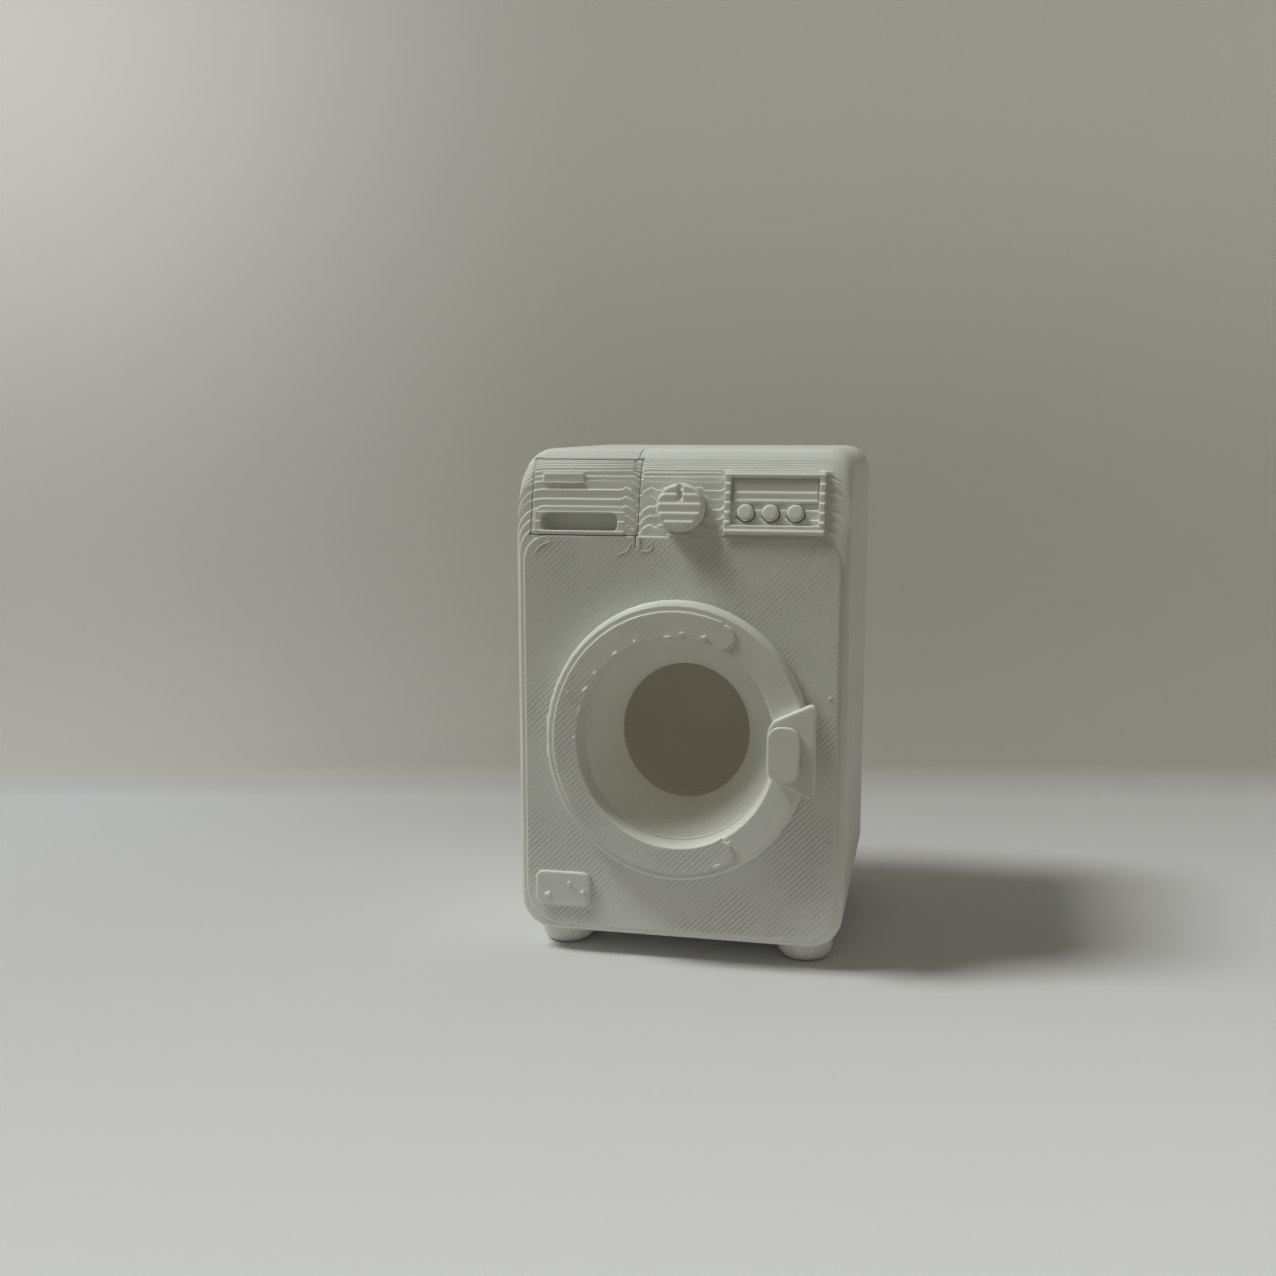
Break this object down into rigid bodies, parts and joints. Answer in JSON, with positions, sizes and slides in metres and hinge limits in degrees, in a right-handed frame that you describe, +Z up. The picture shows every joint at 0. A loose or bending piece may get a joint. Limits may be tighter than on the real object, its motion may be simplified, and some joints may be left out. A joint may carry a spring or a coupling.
{
  "type": "toy washing machine",
  "caption": "Small printed toy of a front-loading washing machine with hinged round door, turning drum, sliding detergent drawer, turning dial and push buttons.",
  "frame": {"origin": "centre of the bounding box in X and Y, on the floor that the feet stand on", "axes": "+X to the right seen from the front, the door faces -Y, +Z up"},
  "size_m": [0.0328, 0.0334, 0.051],
  "materials": {
    "printed_shell": "white printed filament, satin, with fine layer lines",
    "printed_door": "white printed filament, satin, slightly glossier on its last layer",
    "printed_small": "white printed filament, satin",
    "printed_inner": "white printed filament, dull, with coarse steps",
    "steel_wire": "plain drawn wire"
  },
  "bodies": {
    "cabinet": {"cabinet": "printed_shell", "back_cover": "printed_shell", "foot_front_left": "printed_shell", "foot_front_right": "printed_shell", "foot_rear_left": "printed_shell", "foot_rear_right": "printed_shell", "filter_cover": "printed_small", "door_seal": "printed_inner", "hinge_plate": "printed_small", "hinge_pin": "steel_wire", "drawer_guide": "printed_inner", "display_frame": "printed_small", "display_pane": "printed_small", "button_keeper": "printed_inner"},
    "door": {"door_ring": "printed_door", "door_handle": "printed_door", "handle_pad": "printed_door"},
    "drum": {"drum": "printed_inner", "drum_axle": "printed_inner", "axle_cap": "printed_small"},
    "drawer": {"drawer_front": "printed_shell", "drawer_tray": "printed_inner"},
    "dial": {"dial_knob": "printed_small", "dial_collar": "printed_inner"},
    "button_1": {"button_1": "printed_small"},
    "button_2": {"button_2": "printed_small"},
    "button_3": {"button_3": "printed_small"}
  },
  "joints": [
    {"name": "door_hinge", "type": "hinge", "parent": "cabinet", "child": "door", "pos_m": [-0.01245, -0.0141, 0.0227], "axis": [0, 0, -1], "range_deg": [0, 100]},
    {"name": "drum_spin", "type": "hinge", "parent": "cabinet", "child": "drum", "pos_m": [0, 0.01065, 0.0227], "axis": [0, 1, 0], "continuous": true},
    {"name": "drawer_slide", "type": "slide", "parent": "cabinet", "child": "drawer", "axis": [0, -1, 0], "range_m": [0, 0.009]},
    {"name": "dial_turn", "type": "hinge", "parent": "cabinet", "child": "dial", "pos_m": [0.0002, -0.01274, 0.04533], "axis": [0, -0.9751, 0.2215], "continuous": true},
    {"name": "button_1_press", "type": "slide", "parent": "cabinet", "child": "button_1", "axis": [0, 0.9751, -0.2215], "range_m": [0, 0.0004], "stiffness_N_per_m": 200},
    {"name": "button_2_press", "type": "slide", "parent": "cabinet", "child": "button_2", "axis": [0, 0.9751, -0.2215], "range_m": [0, 0.0004], "stiffness_N_per_m": 200},
    {"name": "button_3_press", "type": "slide", "parent": "cabinet", "child": "button_3", "axis": [0, 0.9751, -0.2215], "range_m": [0, 0.0004], "stiffness_N_per_m": 200}
  ]
}
